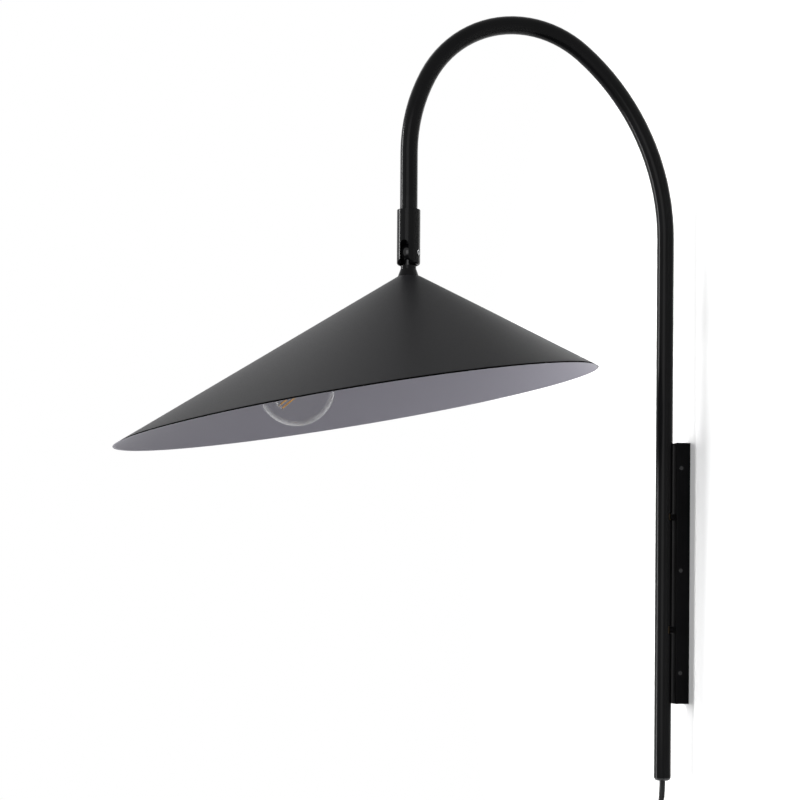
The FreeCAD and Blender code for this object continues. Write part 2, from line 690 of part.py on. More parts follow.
def holder_thread_shell():
    outer = HOLDER_BORE_R - BOLT_GAP
    start = HOLDER_START + HOLDER_BASE + CONTACT_H
    tube = cylinder(outer, THREAD_SHELL_LENGTH, (0, 0, start))
    return aimed(tube.cut(cylinder(outer - THREAD_SHELL_WALL, THREAD_SHELL_LENGTH, (0, 0, start))))


def head_lead():
    """Lead out of the ball's stem, round under the bracket and into the holder's nipple."""
    top = V(DROP_X, 0, PIVOT_Z + BALL_R - PART_GAP * 2)
    knee = V(DROP_X, 0, STEM_END - HEAD_LEAD_KNEE)
    swing = aim_point(HOLDER_START - HEAD_LEAD_SWING)
    end = aim_point(HOLDER_START + HOLDER_BASE - HEAD_LEAD_END_GAP)
    return cord_tube([top, knee, swing, end], HEAD_LEAD_R, "head_lead")


def bulb_cap():
    start = cap_end()
    shell = cylinder(CAP_R, CAP_LENGTH - CAP_NOSE, (0, 0, start + CAP_NOSE))
    nose = Part.makeCone(CAP_R * 0.6, CAP_R, CAP_NOSE, V(0, 0, start))
    body = fused([shell, nose])
    bore = cylinder(CAP_R - CAP_WALL, CAP_LENGTH, (0, 0, start + CAP_NOSE))
    return aimed(body.cut(bore).cut(cylinder(CAP_R * CAP_HOLE_SHARE, CAP_NOSE * 1.5, (0, 0, start - CAP_WALL))))


def bulb_insulator():
    start = cap_end()
    disc = cylinder(CAP_R * CAP_HOLE_SHARE, CAP_NOSE, (0, 0, start))
    tip = cylinder(CAP_TIP_R, CAP_WALL * 2, (0, 0, start - CAP_WALL * 2))
    return aimed(fused([disc, tip]))


def bulb_globe():
    """Hollow glass: a ball whose lower side narrows on an arc into the neck that sits in the cap."""
    outer = globe_profile(GLOBE_R, NECK_GLASS_R)
    inner = globe_profile(GLOBE_R - GLOBE_WALL, NECK_GLASS_R - GLOBE_WALL)
    return aimed(outer.cut(inner))


def globe_profile(ball_r, neck_r):
    """Full solid of the glass outline at one offset: neck, concave shoulder and ball."""
    start = cap_end() + NECK_GLASS_START
    shoulder_r = NECK_GLASS_BEND_R + GLOBE_R - ball_r
    centre = GLOBE_AXIAL
    down = math.sqrt((ball_r + shoulder_r) ** 2 - (neck_r + shoulder_r) ** 2)
    neck_top = centre - down
    touch_r = (neck_r + shoulder_r) * ball_r / (ball_r + shoulder_r)
    touch_z = centre - down * ball_r / (ball_r + shoulder_r)
    a0 = math.pi
    a1 = math.atan2(touch_z - neck_top, touch_r - neck_r - shoulder_r)
    mid = (a0 + a1) / 2
    bend_mid = V(neck_r + shoulder_r + shoulder_r * math.cos(mid), 0, neck_top + shoulder_r * math.sin(mid))
    b0 = math.atan2(touch_z - centre, touch_r)
    b_mid = (b0 + math.pi / 2) / 2
    ball_mid = V(ball_r * math.cos(b_mid), 0, centre + ball_r * math.sin(b_mid))
    top = V(0, 0, centre + ball_r)
    edges = [Part.LineSegment(V(0, 0, start), V(neck_r, 0, start)).toShape(),
             Part.LineSegment(V(neck_r, 0, start), V(neck_r, 0, neck_top)).toShape(),
             Part.Arc(V(neck_r, 0, neck_top), bend_mid, V(touch_r, 0, touch_z)).toShape(),
             Part.Arc(V(touch_r, 0, touch_z), ball_mid, top).toShape(),
             Part.LineSegment(top, V(0, 0, start)).toShape()]
    return Part.Face(Part.Wire(edges)).revolve(V(0, 0, 0), V(0, 0, 1), 360)


def bulb_stem():
    """Glass foot in the neck, a rod along the axis and two wire stars that hold the filaments."""
    start = cap_end() + STEM_GLASS_START
    first = FILAMENT_START - HUB_H
    last = FILAMENT_START + FILAMENT_LENGTH
    foot_r = NECK_GLASS_R - GLOBE_WALL - FIT_GAP
    foot_end = start + STEM_FOOT_HEIGHT
    foot = Part.makeCone(foot_r, STEM_GLASS_R, STEM_FOOT_HEIGHT, V(0, 0, start))
    column = cylinder(STEM_GLASS_R, first - foot_end, (0, 0, foot_end))
    rod = cylinder(STEM_ROD_R, last + HUB_H - first, (0, 0, first))
    body = fused([foot, column, rod])
    reach = FILAMENT_RING_R + FILAMENT_R
    for z in (first, last):
        star = cylinder(STEM_ROD_R * 2, HUB_H, (0, 0, z))
        for i in range(FILAMENT_COUNT):
            arm = block(0, reach, -FILAMENT_R, FILAMENT_R, z, z + HUB_H)
            arm.rotate(V(0, 0, 0), V(0, 0, 1), 360.0 / FILAMENT_COUNT * i)
            star = star.fuse(arm)
        body = body.fuse(star)
    return aimed(body.removeSplitter())


def bulb_filaments():
    sticks = []
    for i in range(FILAMENT_COUNT):
        a = math.radians(360.0 / FILAMENT_COUNT * i)
        x = FILAMENT_RING_R * math.cos(a)
        y = FILAMENT_RING_R * math.sin(a)
        sticks.append(cylinder(FILAMENT_R, FILAMENT_LENGTH, (x, y, FILAMENT_START)))
    return aimed(group(sticks))


# ---- cord tubes ----
def cord_tube(route, r, label):
    """Round tube of straight runs joined by tangent arcs, each as large as its two runs allow."""
    points = [V(*p) for p in route]
    edges = []
    here = points[0]
    radii = []
    for before, corner, after in zip(points, points[1:], points[2:]):
        into = (corner - before).normalize()
        out = (after - corner).normalize()
        turn = math.acos(max(-1.0, min(1.0, into.dot(out))))
        trim = 0.45 * min((corner - before).Length, (after - corner).Length)
        radii.append(trim / math.tan(turn / 2))
        a = corner - into * trim
        b = corner + out * trim
        inward = (out - into).normalize()
        sag = radii[-1] * (1 / math.cos(turn / 2) - 1)
        edges.append(Part.LineSegment(here, a).toShape())
        edges.append(Part.Arc(a, corner + inward * sag, b).toShape())
        here = b
    edges.append(Part.LineSegment(here, points[-1]).toShape())
    wire = Part.Wire(edges)
    tube = sweep(wire, r, points[0], points[1] - points[0])
    share = tube.Volume / (math.pi * r * r * wire.Length)
    print("%s: length %.1f, least radius %.1f, volume share %.4f" % (label, wire.Length, min(radii), share))
    return tube


def coil_stations():
    """Points and directions of the coil's centreline at each quarter turn, spiralling in and out."""
    cx, cy, cz = COIL_CENTRE
    radius = COIL_R
    x = cx
    marks = []
    for half, way in enumerate(COIL_HALVES):
        for quarter in (0, 1):
            angle = math.pi * half + math.pi / 2 * quarter
            if way:
                marks.append((angle, radius, x, way * COIL_PITCH / math.pi / 2, 0.0))
                radius += way * COIL_PITCH / 4
            elif quarter == 0:
                before = COIL_HALVES[half - 1]
                marks.append((angle, radius, x, before * COIL_PITCH / math.pi / 2, 0.0))
            else:
                lift = COIL_PITCH / math.pi * 1.5
                marks.append((angle, radius + before * COIL_TURN_OVER, x + COIL_PITCH / 2, 0.0, lift))
                x += COIL_PITCH
    marks.append((math.pi * len(COIL_HALVES), radius, x, 0.0, 0.0))
    marks[0] = (0.0, COIL_R, cx, 0.0, 0.0)
    stations = []
    for angle, r, x, grow, climb in marks:
        outward = V(0, math.cos(angle), -math.sin(angle))
        ahead = V(0, -math.sin(angle), -math.cos(angle))
        point = V(x, cy, cz) + outward * r
        stations.append((point, (ahead * r + outward * grow + V(climb, 0, 0)).normalize()))
    return stations


def arc_middle(a, way, b):
    """Middle point of the arc that leaves a in the direction way and ends at b."""
    chord = b - a
    along = V(chord).normalize()
    side = way - along * way.dot(along)
    turn = math.acos(max(-1.0, min(1.0, way.dot(along))))
    return (a + b) * 0.5 + side.normalize() * (chord.Length / 2 * math.tan(turn / 2))


def biarc(p, t, q, u):
    """Two arcs from p to q that start along t and end along u."""
    span = q - p
    both = t + u
    rest = 2 * (1 - t.dot(u))
    lean = span.dot(both)
    reach = (-lean + math.sqrt(lean * lean + rest * span.dot(span))) / rest
    joint = (p + t * reach + q - u * reach) * 0.5
    return [Part.Arc(p, arc_middle(p, t, joint), joint).toShape(),
            Part.Arc(joint, arc_middle(q, u * -1, joint), q).toShape()]


def cord_coil():
    stations = coil_stations()
    edges = []
    for (p, t), (q, u) in zip(stations, stations[1:]):
        edges += biarc(p, t, q, u)
    lead_in = Part.LineSegment(stations[0][0] + V(0, 0, 2 * CORD_R), stations[0][0]).toShape()
    last = stations[-1][0]
    lead_out = Part.LineSegment(last, last - V(0, 0, 2 * CORD_R)).toShape()
    wire = Part.Wire([lead_in] + edges + [lead_out])
    tube = sweep(wire, CORD_R, stations[0][0] + V(0, 0, 2 * CORD_R), V(0, 0, -1))
    share = tube.Volume / (math.pi * CORD_R ** 2 * wire.Length)
    values = (wire.Length, share, least_gap(edges))
    print("cord_coil: length %.1f, volume share %.4f, least gap %.2f" % values)
    return tube


def least_gap(edges):
    """Least space between the tube and itself, on points of its centreline, neighbours along it left out."""
    points = []
    for edge in edges:
        points += edge.discretize(7)[:-1]
    length = [0.0]
    for a, b in zip(points, points[1:]):
        length.append(length[-1] + (b - a).Length)
    apart = COIL_R * 2
    least = 1e9
    for i, a in enumerate(points):
        for j in range(i + 1, len(points)):
            if length[j] - length[i] > apart:
                least = min(least, (a - points[j]).Length)
    return least - 2 * CORD_R


def supply_cord():
    return cord_tube(SUPPLY_ROUTE, CORD_R, "supply_cord")


def switch_cord():
    route = list(SWITCH_ROUTE[:-1]) + [V(*SWITCH_ROUTE[-1]) + V(0, 0, 2 * CORD_R)]
    return cord_tube(route, CORD_R, "switch_cord")


def plug_cord():
    route = [V(*PLUG_ROUTE[0]) - V(0, 0, 2 * CORD_R)] + list(PLUG_ROUTE[1:])
    return cord_tube(route, CORD_R, "plug_cord")


def cord_tie():
    """Strap round all the turns at the top of the coil."""
    cx, cy, cz = COIL_CENTRE
    x0 = cx - CORD_R - TIE_GAP
    x1 = cx + 3 * COIL_PITCH + CORD_R + TIE_GAP
    low = COIL_R - 1.5 * COIL_PITCH - COIL_TURN_OVER - CORD_R - TIE_GAP
    high = COIL_R + COIL_TURN_OVER + CORD_R + TIE_GAP + TIE_ROOM_OUT
    outer = rounded_block(x0 - TIE_WALL, x1 + TIE_WALL, low - TIE_WALL, high + TIE_WALL, TIE_CORNER_R + TIE_WALL)
    inner = rounded_block(x0, x1, low, high, TIE_CORNER_R)
    return moved(outer.cut(inner), 0, cy - TIE_WIDTH / 2, cz)


def rounded_block(x0, x1, z0, z1, r):
    """Block along +Y of the tie's width whose four long edges are rounded."""
    body = block(x0, x1, 0, TIE_WIDTH, z0, z1)
    edges = [e for e in body.Edges if abs(e.tangentAt(e.FirstParameter).y) > 0.9]
    return body.makeFillet(r, edges)


# ---- in-line switch ----
def switch_body():
    """Outer shape: narrow ends, wide middle, in both views."""
    z0 = SWITCH_TOP
    stops = (0, -SWITCH_TAPER, SWITCH_TAPER - SWITCH_LENGTH, -SWITCH_LENGTH)
    shapes = []
    for width, axis in ((SWITCH_WIDTH, "y"), (SWITCH_DEPTH, "x")):
        halves = (SWITCH_END / 2, width / 2, width / 2, SWITCH_END / 2)
        side = [(h, z0 + s) for h, s in zip(halves, stops)]
        ring = side + [(-h, z) for h, z in reversed(side)]
        ring.append(ring[0])
        reach = SWITCH_WIDTH * 2
        if axis == "y":
            face = Part.Face(Part.makePolygon([V(-reach / 2, h, z) for h, z in ring]))
            shapes.append(face.extrude(V(reach, 0, 0)))
        else:
            face = Part.Face(Part.makePolygon([V(h, -reach / 2, z) for h, z in ring]))
            shapes.append(face.extrude(V(0, reach, 0)))
    body = shapes[0].common(shapes[1])
    body = body.makeFillet(SWITCH_EDGE_R, [e for e in body.Edges if abs(e.tangentAt(e.FirstParameter).z) > 0.5])
    return moved(body, SWITCH_X, 0, 0)


def rocker_pin_place():
    middle = SWITCH_TOP - SWITCH_LENGTH / 2
    return V(SWITCH_X - SWITCH_DEPTH / 2 + ROCKER_HEIGHT - ROCKER_PROUD, 0, middle)


def switch_shell(front):
    body = switch_body()
    middle = SWITCH_TOP - SWITCH_LENGTH / 2
    reach = SWITCH_LENGTH
    if front:
        body = body.common(block(SWITCH_X - reach, SWITCH_X, -reach, reach, middle - reach, middle + reach))
    else:
        body = body.common(block(SWITCH_X, SWITCH_X + reach, -reach, reach, middle - reach, middle + reach))
    half_depth = SWITCH_DEPTH / 2 - CAVITY_WALL
    half_long = SWITCH_LENGTH / 2 - SWITCH_TAPER + 2
    side = CAVITY_WIDTH / 2
    low = middle - half_long
    high = middle + half_long
    body = body.cut(block(SWITCH_X - half_depth, SWITCH_X + half_depth, -side, side, low, high))
    front_x = SWITCH_X - SWITCH_DEPTH / 2 + SWITCH_FRONT_SKIN
    for y, z in switch_screw_places():
        hole = cylinder(SWITCH_SCREW_R + BOLT_GAP, SWITCH_DEPTH - SWITCH_FRONT_SKIN, (front_x, y, z), (1, 0, 0))
        sink = cylinder(SWITCH_SCREW_HEAD_R + FIT_GAP, SWITCH_SCREW_HEAD_H,
                        (SWITCH_X + SWITCH_DEPTH / 2 - SWITCH_SCREW_HEAD_H, y, z), (1, 0, 0))
        body = body.cut(hole).cut(sink)
    if front:
        room_y = ROCKER_WIDTH / 2 + PART_GAP
        room_z = ROCKER_LENGTH / 2 + ROCKER_END_GAP
        low = middle - room_z
        high = middle + room_z
        body = body.cut(block(SWITCH_X - SWITCH_DEPTH, SWITCH_X, -room_y, room_y, low, high))
        pin = rocker_pin_place()
        pin_half = room_y + ROCKER_PIN_SEAT
        start = (pin.x, -pin_half, pin.z)
        body = body.cut(cylinder(ROCKER_PIN_R + BOLT_GAP, 2 * pin_half, start, (0, 1, 0)))
    return body


def switch_screw_places():
    middle = SWITCH_TOP - SWITCH_LENGTH / 2
    return [(SWITCH_SCREW_Y, middle + SWITCH_SCREW_Z), (-SWITCH_SCREW_Y, middle - SWITCH_SCREW_Z)]


def switch_screws():
    screws = []
    for y, z in switch_screw_places():
        back = SWITCH_X + SWITCH_DEPTH / 2
        head = cylinder(SWITCH_SCREW_HEAD_R, SWITCH_SCREW_HEAD_H, (back, y, z), (-1, 0, 0))
        shank = cylinder(SWITCH_SCREW_R, SWITCH_DEPTH - SWITCH_FRONT_SKIN - PART_GAP, (back, y, z), (-1, 0, 0))
        screws.append(fused([head, shank]))
    return group(screws)


def rocker_pin():
    pin = rocker_pin_place()
    half = ROCKER_WIDTH / 2 + ROCKER_PIN_SEAT
    return cylinder(ROCKER_PIN_R, 2 * half, (pin.x, -half, pin.z), (0, 1, 0))


def switch_rocker():
    """Rocker with a shallow valley, at rest tipped to its off side."""
    half = ROCKER_LENGTH / 2
    end = ROCKER_HEIGHT - ROCKER_END_DIP
    short = half * 0.7
    ring = [(-ROCKER_INSIDE, -short), (end, -half), (ROCKER_HEIGHT - ROCKER_VALLEY, 0), (end, half),
            (-ROCKER_INSIDE, short), (-ROCKER_INSIDE, -short)]
    face = Part.Face(Part.makePolygon([V(-x, -ROCKER_WIDTH / 2, z) for x, z in ring]))
    body = face.extrude(V(0, ROCKER_WIDTH, 0))
    start = (0, -ROCKER_WIDTH / 2 - 1, 0)
    body = body.cut(cylinder(ROCKER_PIN_R + RUN_GAP, ROCKER_WIDTH + 2, start, (0, 1, 0)))
    body.rotate(V(0, 0, 0), V(0, 1, 0), -ROCKER_TILT)
    pin = rocker_pin_place()
    return moved(body, pin.x, 0, pin.z)


def switch_contacts():
    """Two brass strips on the back of the cavity."""
    back = SWITCH_X + SWITCH_DEPTH / 2 - CAVITY_WALL
    middle = SWITCH_TOP - SWITCH_LENGTH / 2
    strips = []
    low = middle - CONTACT_STRIP_LENGTH / 2
    high = middle + CONTACT_STRIP_LENGTH / 2
    for y in (-CONTACT_STRIP_WIDTH, CONTACT_STRIP_WIDTH):
        y0 = y - CONTACT_STRIP_WIDTH / 2
        strips.append(block(back - CONTACT_STRIP, back, y0, y0 + CONTACT_STRIP_WIDTH, low, high))
    return group(strips)


# ---- plug ----
def plug_place():
    return V(*PLUG_ROUTE[-1])


def plug_strain_relief():
    """Cone whose slits leave a core and, turn about, a spine across one way or the other."""
    at = plug_place()
    foot = at.z - RELIEF_LENGTH
    body = Part.makeCone(RELIEF_BASE_R, RELIEF_TOP_R, RELIEF_LENGTH, V(at.x, at.y, foot))
    reach = RELIEF_BASE_R * 1.5
    core = cylinder(CORD_R + RELIEF_CORE_WALL, RELIEF_LENGTH, (at.x, at.y, foot))
    for i in range(RELIEF_SLITS):
        z = foot + RELIEF_LENGTH * (i + 1) / (RELIEF_SLITS + 1) - RELIEF_SLIT / 2
        slit = block(at.x - reach, at.x + reach, at.y - reach, at.y + reach, z, z + RELIEF_SLIT).cut(core)
        wide = (RELIEF_SPINE / 2, reach) if i % 2 else (reach, RELIEF_SPINE / 2)
        spine = block(at.x - wide[0], at.x + wide[0], at.y - wide[1], at.y + wide[1], foot, at.z)
        body = body.cut(slit.cut(spine))
    return body


def plug_body():
    at = plug_place()
    top = at.z - RELIEF_LENGTH
    neck = PLUG_NECK_WIDTH / 2
    wide = PLUG_WIDTH / 2
    waist = PLUG_LENGTH * PLUG_WAIST_SHARE
    shoulder = PLUG_LENGTH * PLUG_SHOULDER_SHARE
    side = [(neck, 0), (neck + 1, waist), (wide, shoulder), (wide, PLUG_LENGTH)]
    outline = side + [(-y, d) for y, d in reversed(side)] + side[:1]
    face = Part.Face(Part.makePolygon([V(at.x, at.y + y, top - d) for y, d in outline]))
    face.translate(V(-PLUG_THICK / 2, 0, 0))
    body = face.extrude(V(PLUG_THICK, 0, 0))
    rims = [e for e in body.Edges
            if abs(abs(e.CenterOfMass.x - at.x) - PLUG_THICK / 2) < 1e-6
            and top - PLUG_LENGTH + 1 < e.CenterOfMass.z < top - 1]
    body = body.makeFillet(PLUG_EDGE_R, rims)
    for y in (-PIN_SPACING / 2, PIN_SPACING / 2):
        body = body.cut(cylinder(PIN_R, PIN_ROOT, (at.x, at.y + y, top - PLUG_LENGTH)))
    return body


def plug_pins():
    at = plug_place()
    face = at.z - RELIEF_LENGTH - PLUG_LENGTH
    pins = []
    for y in (-PIN_SPACING / 2, PIN_SPACING / 2):
        pin = cylinder(PIN_R, PIN_LENGTH + PIN_ROOT, (at.x, at.y + y, face - PIN_LENGTH))
        tips = [e for e in pin.Edges if abs(e.CenterOfMass.z - face + PIN_LENGTH) < 1e-6 and e.Closed]
        pins.append(pin.makeFillet(PIN_R * 0.6, tips))
    return group(pins)


NODES = {
    "rail_cover": rail_cover, "wall_bracket": wall_bracket, "cover_screws": cover_screws,
    "bearing_blocks": bearing_blocks, "bearing_bolts": bearing_bolts, "bearing_spacers": bearing_spacers,
    "bearing_bushes": bearing_bushes, "arm_tube": arm_tube, "cord_grommet": cord_grommet,
    "arm_lead": arm_lead,
    "swivel_collar": swivel_collar, "friction_washer": friction_washer, "spindle_nut": spindle_nut,
    "knuckle_barrel": knuckle_barrel, "pivot_screws": pivot_screws, "knuckle_cores": knuckle_cores,
    "pivot_ball": pivot_ball, "shade_collar": shade_collar, "shade": shade, "shade_washer": shade_washer,
    "lock_nut": lock_nut, "holder_bracket": holder_bracket, "holder_nipple": holder_nipple,
    "holder_nut": holder_nut, "lamp_holder_body": lamp_holder_body, "holder_contact": holder_contact,
    "holder_thread_shell": holder_thread_shell, "head_lead": head_lead, "bulb_cap": bulb_cap,
    "bulb_insulator": bulb_insulator, "bulb_globe": bulb_globe, "bulb_stem": bulb_stem,
    "bulb_filaments": bulb_filaments, "supply_cord": supply_cord, "switch_cord": switch_cord,
    "cord_coil": cord_coil, "plug_cord": plug_cord, "cord_tie": cord_tie,
    "switch_front_shell": lambda: switch_shell(True), "switch_back_shell": lambda: switch_shell(False),
    "switch_screws": switch_screws, "rocker_pin": rocker_pin, "switch_rocker": switch_rocker,
    "switch_contacts": switch_contacts, "plug_strain_relief": plug_strain_relief, "plug_body": plug_body,
    "plug_pins": plug_pins,
}

os.makedirs("parts", exist_ok=True)
for name, make in NODES.items():
    shape = make()
    if not shape.isValid() or not shape.Solids:
        print("check %s: valid %s, solids %d" % (name, shape.isValid(), len(shape.Solids)))
    shape.exportStep("parts/%s.step" % name)
places = (DROP_X, TUBE_END, PIVOT_Z, SHADE_TOP)
print("drop axis x %.2f, tube end z %.2f, pivot z %.2f, shade top z %.2f" % places)
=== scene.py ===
import math

import bpy
from mathutils import Matrix, Vector


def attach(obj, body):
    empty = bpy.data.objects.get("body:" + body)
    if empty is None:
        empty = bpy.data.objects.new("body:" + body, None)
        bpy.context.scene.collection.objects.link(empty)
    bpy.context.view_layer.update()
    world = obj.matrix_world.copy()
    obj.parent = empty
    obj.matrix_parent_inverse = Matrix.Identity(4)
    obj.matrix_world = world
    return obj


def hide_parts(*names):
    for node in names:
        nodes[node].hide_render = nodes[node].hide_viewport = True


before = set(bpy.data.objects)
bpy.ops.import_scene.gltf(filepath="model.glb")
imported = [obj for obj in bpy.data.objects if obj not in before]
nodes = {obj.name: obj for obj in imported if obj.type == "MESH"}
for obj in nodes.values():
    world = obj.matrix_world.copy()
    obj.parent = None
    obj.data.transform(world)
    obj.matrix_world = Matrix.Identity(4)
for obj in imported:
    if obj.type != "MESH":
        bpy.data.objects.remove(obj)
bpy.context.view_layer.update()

# The camera stands in the room, a little below the middle of the rail, and looks level along the wall.
# The picture is the upper part of what the lens sees, so the lens is shifted upwards.
FOCAL_PIXELS = 1600.0
PICTURE_SIDE = 800.0
AXIS_ROW = 599.0
SENSOR = 36.0
NEAREST_SEEN = 0.05
FURTHEST_SEEN = 60.0
CAMERA_PLACE = (-0.7111, -1.5895, -0.0290)
TURN_TO_WALL = math.radians(-13.985)
LEVEL = math.radians(90)
TIP = math.radians(0.346)
camera_lens = bpy.data.cameras.new("camera")
camera_lens.sensor_width = SENSOR
camera_lens.lens = FOCAL_PIXELS / PICTURE_SIDE * SENSOR
camera_lens.shift_y = (AXIS_ROW - PICTURE_SIDE / 2) / PICTURE_SIDE
camera_lens.clip_start = NEAREST_SEEN
camera_lens.clip_end = FURTHEST_SEEN
camera = bpy.data.objects.new("camera", camera_lens)
camera.location = CAMERA_PLACE
camera.rotation_mode = "QUATERNION"
turned = Matrix.Rotation(TURN_TO_WALL, 4, "Z") @ Matrix.Rotation(LEVEL, 4, "X") @ Matrix.Rotation(TIP, 4, "Z")
camera.rotation_quaternion = turned.to_quaternion()
bpy.context.scene.collection.objects.link(camera)
bpy.context.scene.camera = camera
bpy.context.scene.view_settings.view_transform = "Standard"


# The lead is a round black two-core mains lead, 6.4 mm thick. It hangs out of the tube's foot and goes through
# the in-line switch. What is left of it is wound into a tied coil that hangs below, with the plug on its end.
CORD_THICK = 0.0064
SUPPLY_POINTS = ((-0.0255, 0, -0.221), (-0.0255, 0, -0.234), (-0.0275, 0, -0.248), (-0.0275, 0, -0.262))
SWITCH_POINTS = ((-0.0275, 0, -0.320), (-0.0275, 0, -0.332), (-0.0276, 0.0043, -0.344),
                 (-0.0279, 0.0123, -0.3536), (-0.0285, 0.028, -0.3627), (-0.0289, 0.036, -0.3723),
                 (-0.029, 0.0402, -0.384))
PLUG_POINTS = ((-0.008, 0.0437, -0.418), (-0.0105, 0.0427, -0.429), (-0.0105, 0.0427, -0.439))
COIL_CENTRE = Vector((-0.029, 0.0, -0.402))
COIL_RADIUS = 0.0402
COIL_PITCH = 0.007
COIL_HALVES = (-1, -1, -1, 0, 1, 1, 1, 0, -1, -1, -1, 0, 1, 1, 1, 1)
COIL_TURN_OVER = 0.0014
POINTS_PER_HALF = 8
CORD_SMOOTH_STEPS = 6


def coil_points():
    """Centreline of the coil. It spirals in where COIL_HALVES says -1 and out where it says 1, and climbs a
    layer where it says 0."""
    points = []
    radius = COIL_RADIUS
    across = COIL_CENTRE.x
    way_before = -1
    outside = 1.0 / math.cos(math.pi / POINTS_PER_HALF / 2) ** 0.5
    for half, way in enumerate(COIL_HALVES):
        for step in range(POINTS_PER_HALF):
            share = step / POINTS_PER_HALF
            angle = math.pi * (half + share)
            if way:
                r = radius + way * COIL_PITCH / 2 * share
                x = across
            else:
                r = radius + way_before * COIL_TURN_OVER * math.sin(math.pi * share)
                x = across + COIL_PITCH * (0.5 - 0.5 * math.cos(math.pi * share))
            points.append(Vector((x, math.cos(angle) * r * outside, -math.sin(angle) * r * outside))
                          + Vector((0, 0, COIL_CENTRE.z)))
        if way:
            radius += way * COIL_PITCH / 2
            way_before = way
        else:
            across += COIL_PITCH
    points.append(Vector((across, radius, COIL_CENTRE.z)))
    return points


def cord_curve(name, points):
    """A smooth round tube whose line is a NURBS spline on the points of the cord's route."""
    line = bpy.data.curves.new(name, "CURVE")
    line.dimensions = "3D"
    spline = line.splines.new("NURBS")
    spline.points.add(len(points) - 1)
    for place, point in zip(spline.points, points):
        place.co = (*point, 1.0)
    spline.order_u = 3
    spline.use_endpoint_u = True
    spline.resolution_u = CORD_SMOOTH_STEPS
    line.bevel_depth = CORD_THICK / 2
    line.bevel_resolution = CORD_SMOOTH_STEPS
    line.use_fill_caps = True
    cord = bpy.data.objects.new(name, line)
    bpy.context.scene.collection.objects.link(cord)
    return cord


lead_to_switch = cord_curve("lead_to_switch", SUPPLY_POINTS)
lead_to_plug = cord_curve("lead_to_plug", [*SWITCH_POINTS, *coil_points(), *PLUG_POINTS])


class Value:
    """One socket in a tree of nodes. A sum, product or comparison with another value or a number adds a Math
    node."""

    def __init__(self, nodes_of, socket):
        self.nodes_of = nodes_of
        self.socket = socket

    def maths(self, operation, other):
        return self.nodes_of.node("ShaderNodeMath", {0: self, 1: other}, operation=operation)

    def __add__(self, other):
        return self.maths("ADD", other)

    def __mul__(self, other):
        return self.maths("MULTIPLY", other)

    def __gt__(self, other):
        return self.maths("GREATER_THAN", other)

    __radd__ = __add__
    __rmul__ = __mul__


class NodeTree:
    """A tree of shader nodes, of a finish or of the room's light."""

    def __init__(self, tree):
        self.tree = tree

    def node(self, kind, sockets=None, out=0, stops=None, **settings):
        """Adds a node: first its settings and colour stops, then its sockets' values and links."""
        made = self.tree.nodes.new(kind)
        for name, setting in settings.items():
            setattr(made, name, setting)
        if stops:
            while len(made.color_ramp.elements) < len(stops):
                made.color_ramp.elements.new(1.0)
            for element, (place, colour) in zip(made.color_ramp.elements, stops):
                element.position = place
                element.color = (*colour, 1.0)
        for name, value in (sockets or {}).items():
            self.feed(made.inputs[name], value)
        return Value(self, made.outputs[out])

    def feed(self, socket, value):
        """Links a value to a socket, or sets a number, a vector or a colour of three numbers on it."""
        if isinstance(value, Value):
            self.tree.links.new(value.socket, socket)
        elif socket.type == "RGBA":
            socket.default_value = (*value, 1.0)
        else:
            socket.default_value = value

    def between(self, value, low, high, to_low, to_high):
        """The value moved from the range low..high to to_low..to_high and held inside it."""
        return self.node("ShaderNodeMapRange", {"Value": value, "From Min": low, "From Max": high,
                                                "To Min": to_low, "To Max": to_high})

    def seen(self):
        """Over 0 where the camera sees this by itself, mirrored in the lamp or through glass."""
        return (self.node("ShaderNodeLightPath", out="Is Camera Ray")
                + self.node("ShaderNodeLightPath", out="Is Glossy Ray")
                + self.node("ShaderNodeLightPath", out="Is Transmission Ray"))


class Finish(NodeTree):
    """A material and its nodes. What is the same all over is set on the shader's own sockets."""

    def __init__(self, name, **shader):
        self.material = bpy.data.materials.new(name)
        self.material.use_nodes = True
        super().__init__(self.material.node_tree)
        self.shader = self.tree.nodes["Principled BSDF"]
        self.surface = Value(self, self.shader.outputs[0])
        self.set(**shader)

    def set(self, **shader):
        """Sets or links the shader's sockets, named with _ for a space."""
        for name, value in shader.items():
            self.feed(self.shader.inputs[name.replace("_", " ")], value)

    def mix(self, share, other):
        """Puts the other shader over what the surface has so far, as much as share says."""
        self.surface = self.node("ShaderNodeMixShader", {0: share, 1: self.surface, 2: other})
        self.tree.links.new(self.surface.socket, self.tree.nodes["Material Output"].inputs["Surface"])

    def place(self, scale=(1.0, 1.0, 1.0)):
        """Position on the piece in metres, stretched by scale."""
        at = self.node("ShaderNodeTexCoord", out="Object")
        return self.node("ShaderNodeMapping", {"Vector": at, "Scale": scale})

    def noise(self, size, detail=3.0):
        """Soft random value, mostly 0.3 to 0.7, whose grains are about size metres."""
        return self.node("ShaderNodeTexNoise", {"Vector": self.place(), "Scale": 1.0 / size, "Detail": detail},
                         out="Fac")

    def cloudy(self, noise, dark, light, spread=0.2):
        """A colour from dark to light over the middle of a noise, spread to each side of it."""
        return self.node("ShaderNodeValToRGB", {"Fac": noise}, out="Color",
                         stops=((0.5 - spread, dark), (0.5 + spread, light)))

    def uneven(self, noise, low, high):
        """A roughness from low to high over the middle of a noise."""
        return self.between(noise, 0.3, 0.7, low, high)

    def bump(self, height, distance=1.0):
        """Raises the surface by height times distance, in metres."""
        self.set(Normal=self.node("ShaderNodeBump", {"Height": height, "Distance": distance}, out="Normal"))

    def on(self, *pieces):
        """Gives the finish to pieces: objects of this script, or names of frame nodes."""
        for piece in pieces:
            shown = nodes[piece] if isinstance(piece, str) else piece
            shown.data.materials.clear()
            shown.data.materials.append(self.material)


